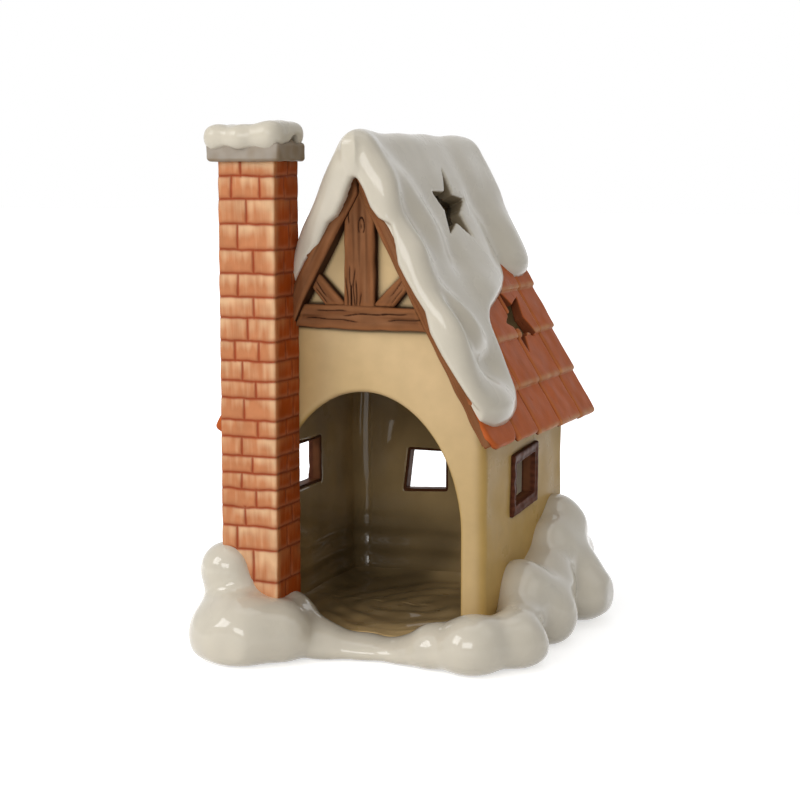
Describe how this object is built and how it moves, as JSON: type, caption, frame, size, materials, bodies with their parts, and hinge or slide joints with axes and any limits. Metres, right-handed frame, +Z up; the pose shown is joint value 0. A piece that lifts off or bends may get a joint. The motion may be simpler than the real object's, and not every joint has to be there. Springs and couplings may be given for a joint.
{
  "type": "tealight house",
  "caption": "Ceramic tealight house with an arched front, brick chimney, timbered gables, star-cut tiled roof and snow; a tealight stands on the floor inside.",
  "frame": {"origin": "bottom centre of the whole house's box, on the table", "axes": "+Z up towards the ridge, -Y out of the arched front, +X towards the side with no chimney"},
  "size_m": [0.1314, 0.152, 0.183],
  "materials": {
    "snow_glaze": "gloss warm-white glaze",
    "timber_glaze": "gloss brown glaze over carved grain",
    "wall_glaze": "gloss cream glaze",
    "window_glaze": "gloss dark brown glaze",
    "floor_glaze": "gloss beige-olive glaze",
    "roof_clay": "gloss brown glaze",
    "tile_glaze": "gloss terracotta glaze, pale at the tile noses",
    "brick_glaze": "gloss brick-red glaze, pale at the brick edges",
    "cap_glaze": "gloss grey glaze"
  },
  "bodies": {
    "root": {"back_drift": "snow_glaze", "chimney_drift": "snow_glaze", "chimney_snow": "snow_glaze", "front_snow_rim": "snow_glaze", "left_drift": "snow_glaze", "left_roof_snow": "snow_glaze", "right_drift": "snow_glaze", "right_roof_snow": "snow_glaze", "front_king_post": "timber_glaze", "front_tie_beam": "timber_glaze", "front_left_brace": "timber_glaze", "front_right_brace": "timber_glaze", "front_left_bargeboard": "timber_glaze", "front_right_bargeboard": "timber_glaze", "back_king_post": "timber_glaze", "back_tie_beam": "timber_glaze", "back_left_brace": "timber_glaze", "back_right_brace": "timber_glaze", "back_left_bargeboard": "timber_glaze", "back_right_bargeboard": "timber_glaze", "front_wall": "wall_glaze", "back_wall": "wall_glaze", "left_wall": "wall_glaze", "right_wall": "wall_glaze", "left_window_frame": "window_glaze", "right_window_frame": "window_glaze", "back_window_frame": "window_glaze", "floor_slab": "floor_glaze", "left_roof_slab": "roof_clay", "right_roof_slab": "roof_clay", "left_roof_tiles": "tile_glaze", "right_roof_tiles": "tile_glaze", "chimney_shaft": "brick_glaze", "chimney_cap": "cap_glaze"}
  },
  "joints": []
}
